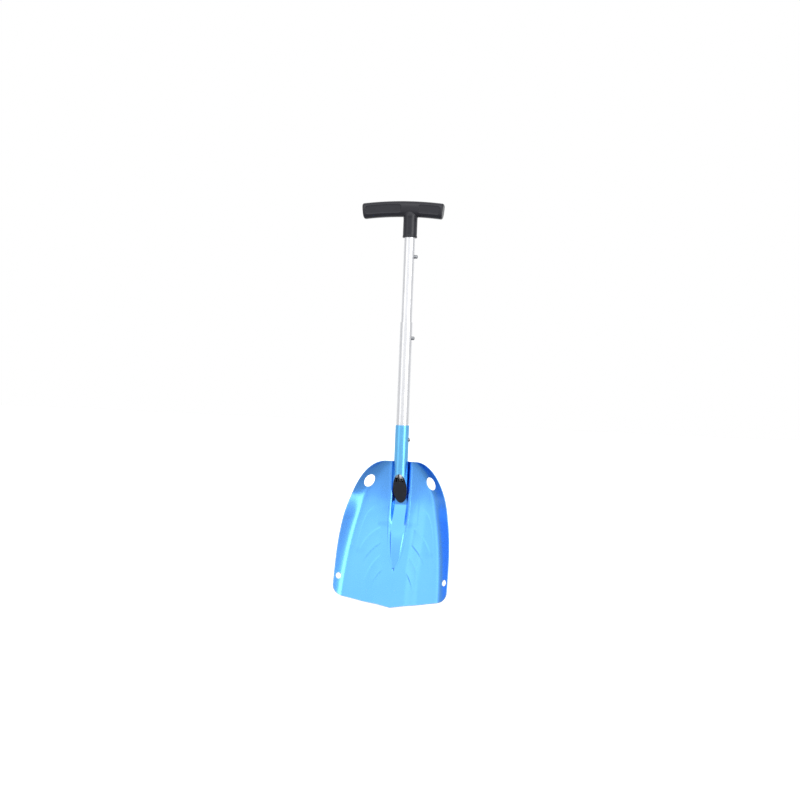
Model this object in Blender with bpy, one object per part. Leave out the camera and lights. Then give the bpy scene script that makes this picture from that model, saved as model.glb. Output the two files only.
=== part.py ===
"""Take-apart avalanche shovel: pressed aluminium blade, two-stage tube shaft, moulded T-grip.

Metres, +Z up along the shaft, +X to the right, the scoop opens towards -Y.
The shaft's axis is X = 0, Y = 0 while the pieces are made. The last step moves the
whole assembly so that its box stands on Z = 0 and is centred on the origin.
"""
import math

import bmesh
import bpy
from mathutils import Matrix, Vector

# --- fits -------------------------------------------------------------------------
GAP = 0.0003                 # kept between touching pieces
SLIDE_GAP = 0.0004           # radial play of a tube in the next one

# --- tubes ------------------------------------------------------------------------
UPPER_RADIUS = 0.0111        # outer radius of the upper tube; the others fit round it
TUBE_WALL = 0.0012
TUBE_SIDES = 40

# --- lengths along the shaft --------------------------------------------------------
BLADE_HEIGHT = 0.2870        # tip to the middle of the top edge
SOCKET_SEAT = 0.0835         # length of socket that lies in the blade's trough
SOCKET_LENGTH = 0.1572       # along its back wall
MOUTH_RISE = 0.058           # how much shorter the socket's front wall is than its back
SHAFT_STOP_GAP = 0.0036      # lower tube's end above the upper rivet's tail
LOWER_LENGTH = 0.2873
SOCKET_BUTTON_DROP = 0.0295  # button below the socket's rim
EXTEND_BUTTON_DROP = 0.032   # button below the lower tube's rim
STROKE = 0.1647              # telescoping travel, which is also the two buttons' spacing
UPPER_OVERLAP = 0.0623       # upper tube left inside the lower one when extended
STOWED_GAP = 0.0065          # rim to grip when collapsed
GRIP_SEAT = 0.0365           # upper tube inside the grip's stem

# --- blade ------------------------------------------------------------------------
BLADE_HALF_WIDTH = 0.1145
SHEET = 0.0018
TOP_EDGE_HALF = 0.032        # straight part of the top edge
SIDE_TOP = 0.060             # where the sides start to curve in
TIP_SLOPE = 0.18             # rise of the shallow V of the cutting edge
CORNER_RADIUS = 0.026
LIFT = math.radians(18.6)    # lean of the floor against the shaft
FLOOR_BEND_DROP = 0.0055     # floor turns upright this far below the socket's end
FLOOR_BEND_SOFT = 0.012
DISH_RISE = 0.024            # how much higher the floor turns upright out at the shoulders
DISH_START = 0.020           # half width where it begins to
DISH_END = 0.062
WALL_SLOPE = 1.15            # side walls: forward rise per width
SHOULDER_SLOPE = 0.83        # the same towards the top edge
SHOULDER_START = 0.0320      # below the socket's end, where the slope begins to ease
SHOULDER_END = 0.0180        # above the socket's end
WALL_SOFT = 0.010            # rounding where the floor turns into the wall
WALL_FOOT_INSET = 0.0145     # side walls' width at the cutting edge
WALL_FOOT_TOP_HALF = 0.008
WALL_FOOT_OVER = 0.0095      # the floor's outline closes this far above the top edge
TROUGH_DEPTH = 0.0051
RIDGE_HEIGHT = 0.0040
RIDGE_CROWN = 0.0015
RIDGE_TIP = 0.075
RIDGE_RAMP = 0.0160          # below the trough's end, where the ridge has its full height
RAMP_LEAN = math.radians(29)  # of the way from the trough's floor out to the ridge's crest
RAMP_SOFT = 0.0060
CREST_SOFT = 0.0030          # rounding where that way meets the crest

# --- holes in the blade -------------------------------------------------------------
LASHING_HOLE = (0.0135, 0.0100)    # half length and half width of the oval
LASHING_HOLE_INSET = 0.0206        # in from the outline, across the blade
LASHING_HOLE_DROP = 0.0421         # below the top edge
LASHING_HOLE_TILT = math.radians(36)
EDGE_HOLE_RADIUS = 0.006
EDGE_HOLE_INSET = 0.0079           # in from the side, across the blade
EDGE_HOLE_Z = 0.0570

# --- rivets, buttons and springs ------------------------------------------------------
RIVET_SHANK = 0.0020
RIVET_HEAD = 0.0042
RIVET_HEAD_HEIGHT = 0.0018
RIVET_TAIL = 0.0034
RIVET_TAIL_HEIGHT = 0.0013
LOWER_RIVET_RISE = 0.022           # above the socket's end
UPPER_RIVET_DROP = 0.0125          # below the blade's top edge
BUTTON_RADIUS = 0.0037
BUTTON_SHOULDER = 0.0013           # flange beyond the button
BUTTON_FLANGE_THICKNESS = 0.0010
BUTTON_DOME = 0.0022
TOP_BUTTON_REACH = 0.0071          # beyond the upper tube
SOCKET_BUTTON_REACH = 0.0053       # beyond the lower tube
SPRING_STRIP = 0.0008
SPRING_HALF_WIDTH = 0.0040
SPRING_PAD = 0.0045                # flat behind the button, each way
SPRING_BEND_DROP = 0.022
SPRING_BEND_RADIUS = 0.0030

# --- plug -------------------------------------------------------------------------
PLUG_FLANGE_THICKNESS = 0.0010     # of the flange that covers the mouth's rim
PLUG_FLANGE_INSET = 0.0003   # flange's edge inside the socket's outer face
PLUG_FACE = 0.0050           # slanted face inside the mouth, along the shaft
PLUG_SLOT_OVERRUN = 0.0005   # outermost slots past the flange's edge
PLUG_LENGTH = 0.0420
PLUG_FINS = 0.0070           # castellations above the body
PLUG_FIN_COUNT = 4
PLUG_WALL = 0.0020

# --- grip -------------------------------------------------------------------------
GRIP_HALF_LENGTH = 0.0823
GRIP_OFFSET = -0.0156        # bar's middle from the shaft's axis: the left arm is longer
GRIP_HALF_HEIGHT = 0.0158
GRIP_HALF_DEPTH = 0.0130
GRIP_POWER = 2.7             # squareness of the bar's section
GRIP_SAG = 0.0050            # how far the ends droop
GRIP_END_ROUND = 0.0035
STEM_WALL = 0.0037           # round the upper tube
STEM_LENGTH = 0.0421         # below the bar's underside
STEM_SHOULDER = 0.0140       # how far the stem's dome runs up into the bar
STEM_LIP = 0.0010
GRIP_RIVET_RISE = 0.018      # above the stem's end

# --- places worked out from the sizes -------------------------------------------------
LOWER_BORE = UPPER_RADIUS + SLIDE_GAP
LOWER_RADIUS = LOWER_BORE + TUBE_WALL
SOCKET_BORE = LOWER_RADIUS + SLIDE_GAP
SOCKET_RADIUS = SOCKET_BORE + TUBE_WALL
UPPER_BORE = UPPER_RADIUS - TUBE_WALL
SOCKET_END = BLADE_HEIGHT - SOCKET_SEAT
SOCKET_RIM = SOCKET_END + SOCKET_LENGTH
SOCKET_RIVET_Z = {"lower": SOCKET_END + LOWER_RIVET_RISE, "upper": BLADE_HEIGHT - UPPER_RIVET_DROP}
LOWER_END = SOCKET_RIVET_Z["upper"] + RIVET_TAIL + SHAFT_STOP_GAP
LOWER_RIM = LOWER_END + LOWER_LENGTH
SOCKET_BUTTON_Z = SOCKET_RIM - SOCKET_BUTTON_DROP
EXTEND_BUTTON_Z = LOWER_RIM - EXTEND_BUTTON_DROP
STOW_BUTTON_Z = EXTEND_BUTTON_Z + STROKE
UPPER_END = LOWER_RIM - UPPER_OVERLAP
STEM_END = LOWER_RIM + STROKE + STOWED_GAP
UPPER_TOP = STEM_END + GRIP_SEAT
GRIP_AXIS_Z = STEM_END + STEM_LENGTH + GRIP_HALF_HEIGHT
TROUGH_Y = SOCKET_RADIUS + GAP + SHEET / 2 + 0.0001
LIP_Y = TROUGH_Y - TROUGH_DEPTH
TROUGH_FLOOR_HALF = SOCKET_RADIUS - 0.0023
TROUGH_LIP_HALF = SOCKET_RADIUS + 0.0037
FLOOR_BEND_Z = SOCKET_END - FLOOR_BEND_DROP
MOUTH_STEEPNESS = MOUTH_RISE / (2 * SOCKET_RADIUS)
ALONG_SHAFT = math.sqrt(1 + MOUTH_STEEPNESS ** 2)    # shaft length of a unit square to the mouth
PLUG_FLANGE_RADIUS = SOCKET_RADIUS - PLUG_FLANGE_INSET
PLUG_FLANGE_TOP = -GAP * ALONG_SHAFT
PLUG_FLANGE_LOW = PLUG_FLANGE_TOP - PLUG_FLANGE_THICKNESS * ALONG_SHAFT
RIDGE_FOOT = SOCKET_END + PLUG_FLANGE_LOW
RIDGE_START = RIDGE_FOOT - RIDGE_RAMP
WALL_FOOT_HALF = BLADE_HALF_WIDTH - WALL_FOOT_INSET
BUTTON_FLANGE = BUTTON_RADIUS + BUTTON_SHOULDER
STEM_RADIUS = UPPER_RADIUS + STEM_WALL
SHANK_HOLE = RIVET_SHANK + GAP
BUTTON_HOLE = BUTTON_RADIUS + GAP
PLUG_RADIUS = SOCKET_BORE - GAP
POLYGON_SHRINK = math.cos(math.pi / TUBE_SIDES)   # a many-sided bore is this much tighter


# --- small helpers --------------------------------------------------------------------
def clear_scene():
    for old in list(bpy.data.objects):
        bpy.data.objects.remove(old, do_unlink=True)


def material(name, colour, roughness, metallic):
    finish = bpy.data.materials.new(name)
    finish.use_nodes = True
    shader = finish.node_tree.nodes["Principled BSDF"]
    shader.inputs["Base Color"].default_value = (*colour, 1.0)
    shader.inputs["Roughness"].default_value = roughness
    shader.inputs["Metallic"].default_value = metallic
    return finish


def smooth_ramp(distance, soft):
    """0 well below zero and `distance` well above it, rounded over `soft`."""
    return 0.5 * (distance + math.sqrt(distance * distance + soft * soft))


def smooth_step(low, high, value):
    share = min(1.0, max(0.0, (value - low) / (high - low)))
    return share * share * (3 - 2 * share)


def mix(first, second, share):
    return first + (second - first) * share


def add_object(name, mesh_builder, finish=None):
    """Turn a bmesh into an object whose faces point out."""
    bmesh.ops.recalc_face_normals(mesh_builder, faces=mesh_builder.faces)
    mesh = bpy.data.meshes.new(name)
    mesh_builder.to_mesh(mesh)
    mesh_builder.free()
    obj = bpy.data.objects.new(name, mesh)
    bpy.context.scene.collection.objects.link(obj)
    if finish is not None:
        mesh.materials.append(finish)
        mesh.shade_smooth()
        mesh.set_sharp_from_angle(angle=math.radians(35))
    return obj


def ring(mesh_builder, radius, height, sides):
    step = 2 * math.pi / sides
    return [
        mesh_builder.verts.new((radius * math.cos(i * step), radius * math.sin(i * step), height))
        for i in range(sides)
    ]


def skin(mesh_builder, first, second):
    """Join two rings of the same count by quads."""
    count = len(first)
    for i in range(count):
        j = (i + 1) % count
        mesh_builder.faces.new((first[i], first[j], second[j], second[i]))


def tube_mesh(outer, inner, low, high, sides=TUBE_SIDES):
    build = bmesh.new()
    rings = [
        ring(build, outer, low, sides),
        ring(build, outer, high, sides),
        ring(build, inner, high, sides),
        ring(build, inner, low, sides),
    ]
    for i in range(4):
        skin(build, rings[i], rings[(i + 1) % 4])
    return build


def turned_mesh(profile, sides):
    """A solid turned round Z from (radius, height) pairs; a radius of 0 closes an end."""
    build = bmesh.new()
    rings = []
    for radius, height in profile:
        if radius > 0:
            rings.append(ring(build, radius, height, sides))
        else:
            rings.append([build.verts.new((0, 0, height))])
    for first, second in zip(rings, rings[1:]):
        if len(first) == 1 or len(second) == 1:
            pole, loop = (first[0], second) if len(first) == 1 else (second[0], first)
            for i in range(sides):
                build.faces.new((pole, loop[i], loop[(i + 1) % sides]))
        else:
            skin(build, first, second)
    for end in (rings[0], rings[-1]):
        if len(end) > 1:
            build.faces.new(end)
    return build


def prism_mesh(outline, low, high, along):
    """Extrude a closed outline; `along` maps (a, b, depth) to a point."""
    build = bmesh.new()
    near = [build.verts.new(along(a, b, low)) for a, b in outline]
    far = [build.verts.new(along(a, b, high)) for a, b in outline]
    skin(build, near, far)
    build.faces.new(near)
    build.faces.new(far)
    return build


def box_mesh(low, high):
    outline = [(low[0], low[1]), (high[0], low[1]), (high[0], high[1]), (low[0], high[1])]
    return prism_mesh(outline, low[2], high[2], lambda a, b, depth: (a, b, depth))


def combine(obj, name, mesh_builder, operation, matrix=None):
    """Boolean a helper shape into obj; the helper is hidden."""
    cutter = add_object(name, mesh_builder)
    if matrix is not None:
        cutter.data.transform(matrix)
    cutter.display_type = "WIRE"
    cutter.hide_render = True
    modifier = obj.modifiers.new(name, "BOOLEAN")
    modifier.operation = operation
    modifier.object = cutter


def drill(obj, name, radius, start, end, sides=20):
    """A round hole from point start to point end."""
    start, end = Vector(start), Vector(end)
    axis = (end - start).normalized()
    half_side = Matrix.Rotation(math.pi / sides, 4, "Z")   # no corner on the piece's own mid-line
    turn = axis.to_track_quat("Z", "Y").to_matrix().to_4x4() @ half_side
    hole = turned_mesh([(radius, 0), (radius, (end - start).length)], sides)
    combine(obj, name, hole, "DIFFERENCE", Matrix.Translation(start) @ turn)


# --- blade surface ----------------------------------------------------------------------
def half_width(z):
    """Half width of the blade at the end of the row at height z, above the corner arcs."""
    share = min(1.0, max(0.0, (z - SIDE_TOP) / (BLADE_HEIGHT - SIDE_TOP)))
    return TOP_EDGE_HALF + (BLADE_HALF_WIDTH - TOP_EDGE_HALF) * math.sqrt(1 - share ** 2.5)


def wall_foot(z):
    """Half width of the floor, where the wall begins to rise."""
    share = min(0.999, max(0.0, z / (BLADE_HEIGHT + WALL_FOOT_OVER)))
    return WALL_FOOT_TOP_HALF + (WALL_FOOT_HALF - WALL_FOOT_TOP_HALF) * math.sqrt(1 - share ** 2)


def ridge_share(z):
    """1 where the ridge starts under the socket, falling to 0 at its tip."""
    fall = min(1.0, max(0.0, (RIDGE_START - z) / (RIDGE_START - RIDGE_TIP)))
    return math.sqrt(1 - fall ** 1.5)


def channel_scale(z):
    return max(ridge_share(z), 0.25)


def sheet_y(x, z):
    """Fore-and-aft place of the middle of the sheet."""
    bend = FLOOR_BEND_Z + DISH_RISE * smooth_step(DISH_START, DISH_END, abs(x))
    leaning = math.tan(LIFT) * (bend - z)
    plain = LIP_Y - smooth_ramp(leaning, FLOOR_BEND_SOFT)
    slope = mix(WALL_SLOPE, SHOULDER_SLOPE,
                smooth_step(SOCKET_END - SHOULDER_START, SOCKET_END + SHOULDER_END, z))
    plain -= slope * smooth_ramp(abs(x) - wall_foot(z), WALL_SOFT)
    scaled = abs(x) / channel_scale(z)
    inside = 1 - smooth_step(TROUGH_FLOOR_HALF, TROUGH_LIP_HALF, scaled)
    crown = RIDGE_CROWN * (1 - min(1.0, scaled / TROUGH_FLOOR_HALF) ** 2)
    rise = (RIDGE_HEIGHT + crown) * ridge_share(z) ** 2
    crest = plain - rise
    below = max(0.0, RIDGE_FOOT - z)
    ramp = TROUGH_Y - math.tan(RAMP_LEAN) * below ** 2 / (below + RAMP_SOFT)
    way_out = crest + smooth_ramp(ramp - crest, CREST_SOFT)
    level = mix(way_out, TROUGH_Y, smooth_step(RIDGE_FOOT - RAMP_SOFT, RIDGE_FOOT, z))
    return mix(plain, level, inside)


def sheet_point(x, z):
    return Vector((x, sheet_y(x, z), z))


def sheet_normal(x, z):
    """Points to the front, out of the scoop."""
    step = 0.0005
    across = sheet_point(x + step, z) - sheet_point(x - step, z)
    upward = sheet_point(x, z + step) - sheet_point(x, z - step)
    return across.cross(upward).normalized()


def steps_between(low, high, spacing):
    """Even heights above low, up to and with high."""
    count = max(1, round((high - low) / spacing))
    return [low + (high - low) * (i + 1) / count for i in range(count)]


def blade_rows():
    """(end half width, end height, droop at the middle) of each row of the sheet."""
    lean = math.atan(TIP_SLOPE)
    centre_x = BLADE_HALF_WIDTH - CORNER_RADIUS
    centre_z = TIP_SLOPE * centre_x + CORNER_RADIUS / math.cos(lean)
    rows = []
    arc_steps = 6
    for i in range(arc_steps + 1):
        angle = -(math.pi / 2 - lean) * (1 - i / arc_steps)
        rows.append((centre_x + CORNER_RADIUS * math.cos(angle),
                     centre_z + CORNER_RADIUS * math.sin(angle)))
    crest_z = BLADE_HEIGHT - 0.013
    heights = steps_between(centre_z, RIDGE_START, 0.0085)
    heights += steps_between(RIDGE_START, RIDGE_FOOT, 0.0032)
    heights += steps_between(RIDGE_FOOT, crest_z, 0.0090)
    span = BLADE_HEIGHT - crest_z
    top_steps = 6
    heights += [crest_z + span * math.sin(math.pi / 2 * (i + 1) / top_steps)
                for i in range(top_steps)]
    rows += [(half_width(z), z) for z in heights]
    first_end = rows[0][1]
    fade = 0.050
    return [(x, z, first_end * max(0.0, 1 - (z - first_end) / fade)) for x, z in rows]


def blade_columns(half, scale):
    """Places across one row: a band that follows the trough and ridge, then even steps."""
    floor, lip = TROUGH_FLOOR_HALF, TROUGH_LIP_HALF
    third = (lip - floor) / 3
    band = [floor / 3, floor * 2 / 3, floor, floor + third, lip - third, lip, lip + 0.003]
    band = [place * scale for place in band]
    outer_steps = 10
    outer = [band[-1] + (half - band[-1]) * (i + 1) / outer_steps for i in range(outer_steps)]
    right = band + outer
    return [-place for place in reversed(right)] + [0.0] + right


def blade_mesh():
    build = bmesh.new()
    grid = []
    for half, end_z, droop in blade_rows():
        row = []
        for x in blade_columns(half, channel_scale(end_z)):
            z = end_z - droop * (1 - abs(x) / half)
            row.append(build.verts.new(sheet_point(x, z)))
        grid.append(row)
    for low, high in zip(grid, grid[1:]):
        for i in range(len(low) - 1):
            build.faces.new((low[i], low[i + 1], high[i + 1], high[i]))
    return build


def lashing_holes(blade):
    """Two ovals in the shoulders, long way along the outline."""
    for side, label in ((-1, "left"), (1, "right")):
        z = BLADE_HEIGHT - LASHING_HOLE_DROP
        x = side * (half_width(z) - LASHING_HOLE_INSET)
        normal = sheet_normal(x, z)
        along = Vector((-side * math.sin(LASHING_HOLE_TILT), 0, math.cos(LASHING_HOLE_TILT)))
        along = (along - normal * along.dot(normal)).normalized()
        across = along.cross(normal)
        turn = Matrix((across, along, normal)).transposed().to_4x4()
        shape = Matrix.Diagonal((LASHING_HOLE[1], LASHING_HOLE[0], 0.012, 1))
        combine(blade, "lashing_cut_" + label, turned_mesh([(1, -1), (1, 1)], 28), "DIFFERENCE",
                Matrix.Translation(sheet_point(x, z)) @ turn @ shape)


def edge_holes(blade):
    for side, label in ((-1, "left"), (1, "right")):
        x = side * (BLADE_HALF_WIDTH - EDGE_HOLE_INSET)
        middle = sheet_point(x, EDGE_HOLE_Z)
        reach = sheet_normal(x, EDGE_HOLE_Z) * 0.006
        drill(blade, "edge_cut_" + label, EDGE_HOLE_RADIUS, middle - reach, middle + reach)


def make_blade(finish):
    blade = add_object("blade", blade_mesh(), finish)
    solid = blade.modifiers.new("sheet", "SOLIDIFY")
    solid.thickness = SHEET
    solid.offset = 0
    solid.use_even_offset = True
    lashing_holes(blade)
    edge_holes(blade)
    for label, z in SOCKET_RIVET_Z.items():
        drill(blade, "blade_rivet_cut_" + label, SHANK_HOLE, (0, 0.008, z), (0, 0.030, z), 16)


# --- socket -----------------------------------------------------------------------------
def mouth_height(y):
    """Height of the slanted mouth's plane."""
    return SOCKET_END + MOUTH_STEEPNESS * (SOCKET_RADIUS - y)


def below_mouth(shift):
    """Outline in (Y, Z) of everything under the slanted mouth, raised by shift."""
    reach = SOCKET_RADIUS + 0.004
    base = SOCKET_END - 0.040
    return [
        (-reach, base),
        (reach, base),
        (reach, mouth_height(reach) + shift),
        (-reach, mouth_height(-reach) + shift),
    ]


def slanted_disc(radius, low, high, sides):
    """Slice of a round bar between two planes along the mouth, shifted by low and high."""
    build = bmesh.new()
    ends = [[], []]
    for i in range(sides):
        turn = 2 * math.pi * i / sides
        x, y = radius * math.cos(turn), radius * math.sin(turn)
        for end, shift in zip(ends, (low, high)):
            end.append(build.verts.new((x, y, mouth_height(y) + shift)))
    skin(build, *ends)
    for end in ends:
        build.faces.new(end)
    return build


def slanted_cut(obj, name, shift):
    cut = prism_mesh(below_mouth(shift), -0.020, 0.020, lambda y, z, x: (x, y, z))
    combine(obj, name, cut, "DIFFERENCE")


def make_socket(finish):
    low = SOCKET_END - 0.010
    socket = add_object("socket_tube", tube_mesh(SOCKET_RADIUS, SOCKET_BORE, low, SOCKET_RIM), finish)
    slanted_cut(socket, "mouth_cut", 0.0)
    drill(socket, "socket_button_cut", BUTTON_HOLE, (0.008, 0, SOCKET_BUTTON_Z),
          (0.020, 0, SOCKET_BUTTON_Z))
    for label, z in SOCKET_RIVET_Z.items():
        drill(socket, "socket_rivet_cut_" + label, SHANK_HOLE, (0, 0.008, z), (0, 0.020, z), 16)


def make_plug(finish):
    """Moulded cap in the slanted mouth: flange over the rim, hollow body, fins at its inner end."""
    low, body_top = SOCKET_END - 0.010, SOCKET_END + PLUG_LENGTH
    top = body_top + PLUG_FINS
    plug = add_object("socket_end_plug", turned_mesh([(PLUG_RADIUS, low), (PLUG_RADIUS, top)], 36),
                      finish)
    slanted_cut(plug, "plug_body_cut", (PLUG_FLANGE_LOW + PLUG_FLANGE_TOP) / 2)
    combine(plug, "plug_flange",
            slanted_disc(PLUG_FLANGE_RADIUS, PLUG_FLANGE_LOW, PLUG_FLANGE_TOP, 40), "UNION")
    hollow_radius = PLUG_RADIUS - PLUG_WALL
    hollow = add_object("plug_hollow", turned_mesh([(hollow_radius, low), (hollow_radius, top + 0.01)],
                                                   32))
    slanted_cut(hollow, "plug_hollow_floor", PLUG_FACE)
    hollow.display_type = "WIRE"
    hollow.hide_render = True
    cut = plug.modifiers.new("hollow", "BOOLEAN")
    cut.operation = "DIFFERENCE"
    cut.object = hollow
    combine(plug, "plug_top_cut", box_mesh((-0.020, -0.020, top), (0.020, 0.020, top + 0.030)),
            "DIFFERENCE")
    pitch = 2 * (PLUG_FLANGE_RADIUS + PLUG_SLOT_OVERRUN) / (2 * PLUG_FIN_COUNT + 1)
    for i in range(PLUG_FIN_COUNT + 1):
        x = (2 * i - PLUG_FIN_COUNT) * pitch
        slot = box_mesh((x - pitch / 2, -0.020, body_top), (x + pitch / 2, 0.020, top + 0.005))
        combine(plug, f"plug_slot_{i + 1}", slot, "DIFFERENCE")
    groove_half = RIVET_TAIL + 0.0006
    groove_y = SOCKET_BORE - RIVET_TAIL_HEIGHT - 0.0015
    groove_end = SOCKET_RIVET_Z["lower"] - groove_half
    groove = box_mesh((-groove_half, groove_y, groove_end), (groove_half, 0.020, top + 0.005))
    combine(plug, "plug_rivet_groove", groove, "DIFFERENCE")


def rivet(name, bore, joint_back, z, finish):
    """Domed head behind, shank through both walls, upset tail inside the bore."""
    tail_y = math.sqrt((bore * POLYGON_SHRINK) ** 2 - RIVET_TAIL ** 2) - GAP
    head_y = joint_back + GAP
    profile = [
        (0, tail_y - RIVET_TAIL_HEIGHT),
        (RIVET_TAIL * 0.8, tail_y - RIVET_TAIL_HEIGHT),
        (RIVET_TAIL, tail_y - RIVET_TAIL_HEIGHT * 0.5),
        (RIVET_TAIL, tail_y),
        (RIVET_SHANK, tail_y),
        (RIVET_SHANK, head_y),
        (RIVET_HEAD, head_y),
        (RIVET_HEAD * 0.93, head_y + RIVET_HEAD_HEIGHT * 0.45),
        (RIVET_HEAD * 0.62, head_y + RIVET_HEAD_HEIGHT * 0.85),
        (0, head_y + RIVET_HEAD_HEIGHT),
    ]
    obj = add_object(name, turned_mesh(profile, 20), finish)
    obj.data.transform(Matrix.Rotation(math.radians(-90), 4, "X"))
    obj.location = (0, 0, z)


def make_socket_rivets(finish):
    for label, z in SOCKET_RIVET_Z.items():
        rivet("socket_rivet_" + label, SOCKET_BORE, TROUGH_Y + SHEET / 2, z, finish)


# --- shaft ------------------------------------------------------------------------------
def flange_face(bore):
    """Where the button's flange meets the bore from inside."""
    return math.sqrt((bore * POLYGON_SHRINK) ** 2 - BUTTON_FLANGE ** 2) - GAP


def snap_button(name, bore, tip, z, finish):
    face = flange_face(bore)
    profile = [
        (0, face - BUTTON_FLANGE_THICKNESS),
        (BUTTON_FLANGE, face - BUTTON_FLANGE_THICKNESS),
        (BUTTON_FLANGE, face),
        (BUTTON_RADIUS, face),
        (BUTTON_RADIUS, tip - BUTTON_DOME),
    ]
    dome_steps = 4
    for i in range(1, dome_steps):
        turn = math.pi / 2 * i / dome_steps
        profile.append((BUTTON_RADIUS * math.cos(turn), tip - BUTTON_DOME * (1 - math.sin(turn))))
    profile.append((0, tip))
    button = add_object(name, turned_mesh(profile, 24), finish)
    button.data.transform(Matrix.Rotation(math.radians(90), 4, "Y"))
    button.location = (0, 0, z)


def spring_centreline(bore):
    """(X, Z) points of the leaf's middle: pad behind the button, bend below, leg on the far wall."""
    pad = flange_face(bore) - BUTTON_FLANGE_THICKNESS - GAP - SPRING_STRIP / 2
    wall = math.sqrt((bore * POLYGON_SHRINK) ** 2 - SPRING_HALF_WIDTH ** 2) - GAP - SPRING_STRIP / 2
    middle = -0.002
    points = [(pad, SPRING_PAD), (pad, -SPRING_PAD)]
    arc_steps = 8
    for i in range(arc_steps + 1):
        turn = math.pi * i / arc_steps
        points.append((middle + SPRING_BEND_RADIUS * math.cos(turn),
                       -SPRING_BEND_DROP - SPRING_BEND_RADIUS * math.sin(turn)))
    points += [(-wall, -SPRING_PAD), (-wall, SPRING_PAD)]
    return points


def thick_outline(points, thickness):
    """Closed outline of a strip of even thickness along an open centreline."""
    left, right = [], []
    for i, here in enumerate(points):
        before = points[max(i - 1, 0)]
        after = points[min(i + 1, len(points) - 1)]
        arriving = Vector((here[0] - before[0], here[1] - before[1]))
        leaving = Vector((after[0] - here[0], after[1] - here[1]))
        arriving = arriving.normalized() if arriving.length else leaving.normalized()
        leaving = leaving.normalized() if leaving.length else arriving
        along = (arriving + leaving).normalized()
        reach = thickness / 2 / max(0.5, along.dot(leaving))
        normal = Vector((-along.y, along.x)) * reach
        left.append((here[0] + normal.x, here[1] + normal.y))
        right.append((here[0] - normal.x, here[1] - normal.y))
    return left + right[::-1]


def leaf_spring(name, bore, z, finish):
    outline = thick_outline(spring_centreline(bore), SPRING_STRIP)
    leaf = prism_mesh(outline, -SPRING_HALF_WIDTH, SPRING_HALF_WIDTH, lambda x, up, y: (x, y, up))
    spring = add_object(name, leaf, finish)
    spring.location = (0, 0, z)


def make_lower_tube(finish):
    lower = add_object("lower_tube", tube_mesh(LOWER_RADIUS, LOWER_BORE, LOWER_END, LOWER_RIM), finish)
    for name, z in (("lower_button_cut", SOCKET_BUTTON_Z), ("extend_button_cut", EXTEND_BUTTON_Z)):
        drill(lower, name, BUTTON_HOLE, (0.006, 0, z), (0.020, 0, z))


def make_upper_tube(finish):
    upper = add_object("upper_tube", tube_mesh(UPPER_RADIUS, UPPER_BORE, UPPER_END, UPPER_TOP), finish)
    for name, z in (("upper_extend_cut", EXTEND_BUTTON_Z), ("upper_stow_cut", STOW_BUTTON_Z)):
        drill(upper, name, BUTTON_HOLE, (0.006, 0, z), (0.020, 0, z))
    z = STEM_END + GRIP_RIVET_RISE
    drill(upper, "upper_rivet_cut", SHANK_HOLE, (0, 0.006, z), (0, 0.020, z), 16)


def make_buttons(button_finish, spring_finish):
    top_tip = UPPER_RADIUS + TOP_BUTTON_REACH
    socket_tip = LOWER_RADIUS + SOCKET_BUTTON_REACH
    for name, bore, tip, z in (
        ("socket_button", LOWER_BORE, socket_tip, SOCKET_BUTTON_Z),
        ("extend_button", UPPER_BORE, top_tip, EXTEND_BUTTON_Z),
        ("stow_button", UPPER_BORE, top_tip, STOW_BUTTON_Z),
    ):
        snap_button(name, bore, tip, z, button_finish)
        leaf_spring(name + "_spring", bore, z, spring_finish)


# --- grip -------------------------------------------------------------------------------
def grip_section(build, along, scale, sides=28):
    """One station of the arched bar: a squared oval standing square to the arch."""
    drop = GRIP_SAG * (along / GRIP_HALF_LENGTH) ** 2
    lean = math.atan(2 * GRIP_SAG * along / GRIP_HALF_LENGTH ** 2)
    points = []
    for i in range(sides):
        turn = 2 * math.pi * i / sides
        y = math.copysign(abs(math.cos(turn)) ** (2 / GRIP_POWER), math.cos(turn))
        up = math.copysign(abs(math.sin(turn)) ** (2 / GRIP_POWER), math.sin(turn))
        rise = up * GRIP_HALF_HEIGHT * scale
        points.append(build.verts.new((GRIP_OFFSET + along + rise * math.sin(lean),
                                       y * GRIP_HALF_DEPTH * scale,
                                       GRIP_AXIS_Z - drop + rise * math.cos(lean))))
    return points


def grip_bar_mesh():
    build = bmesh.new()
    inner = GRIP_HALF_LENGTH - GRIP_END_ROUND
    stations = [(inner * (i / 8 - 1), 1.0) for i in range(17)]
    round_steps = 3
    ends = []
    for i in range(1, round_steps + 1):
        turn = math.pi / 2 * i / round_steps
        shrink = 1 - GRIP_END_ROUND / GRIP_HALF_HEIGHT * (1 - math.cos(turn))
        ends.append((inner + GRIP_END_ROUND * math.sin(turn), shrink))
    stations = [(-x, shrink) for x, shrink in reversed(ends)] + stations + ends
    sections = [grip_section(build, x, shrink) for x, shrink in stations]
    for first, second in zip(sections, sections[1:]):
        skin(build, first, second)
    build.faces.new(sections[0])
    build.faces.new(sections[-1])
    return build


def stem_mesh():
    """Round stem with a small lip at its end and a dome that dies into the bar."""
    under = STEM_END + STEM_LENGTH
    profile = [
        (STEM_RADIUS, STEM_END),
        (STEM_RADIUS, STEM_END + 0.0030),
        (STEM_RADIUS - STEM_LIP / 2, STEM_END + 0.0040),
        (STEM_RADIUS - STEM_LIP / 2, under - 0.0040),
        (STEM_RADIUS, under),
    ]
    dome_steps = 5
    for i in range(1, dome_steps):
        turn = math.pi / 2 * i / dome_steps
        profile.append((STEM_RADIUS * math.cos(turn), under + STEM_SHOULDER * math.sin(turn)))
    profile.append((0, under + STEM_SHOULDER))
    return turned_mesh(profile, 40)


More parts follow.
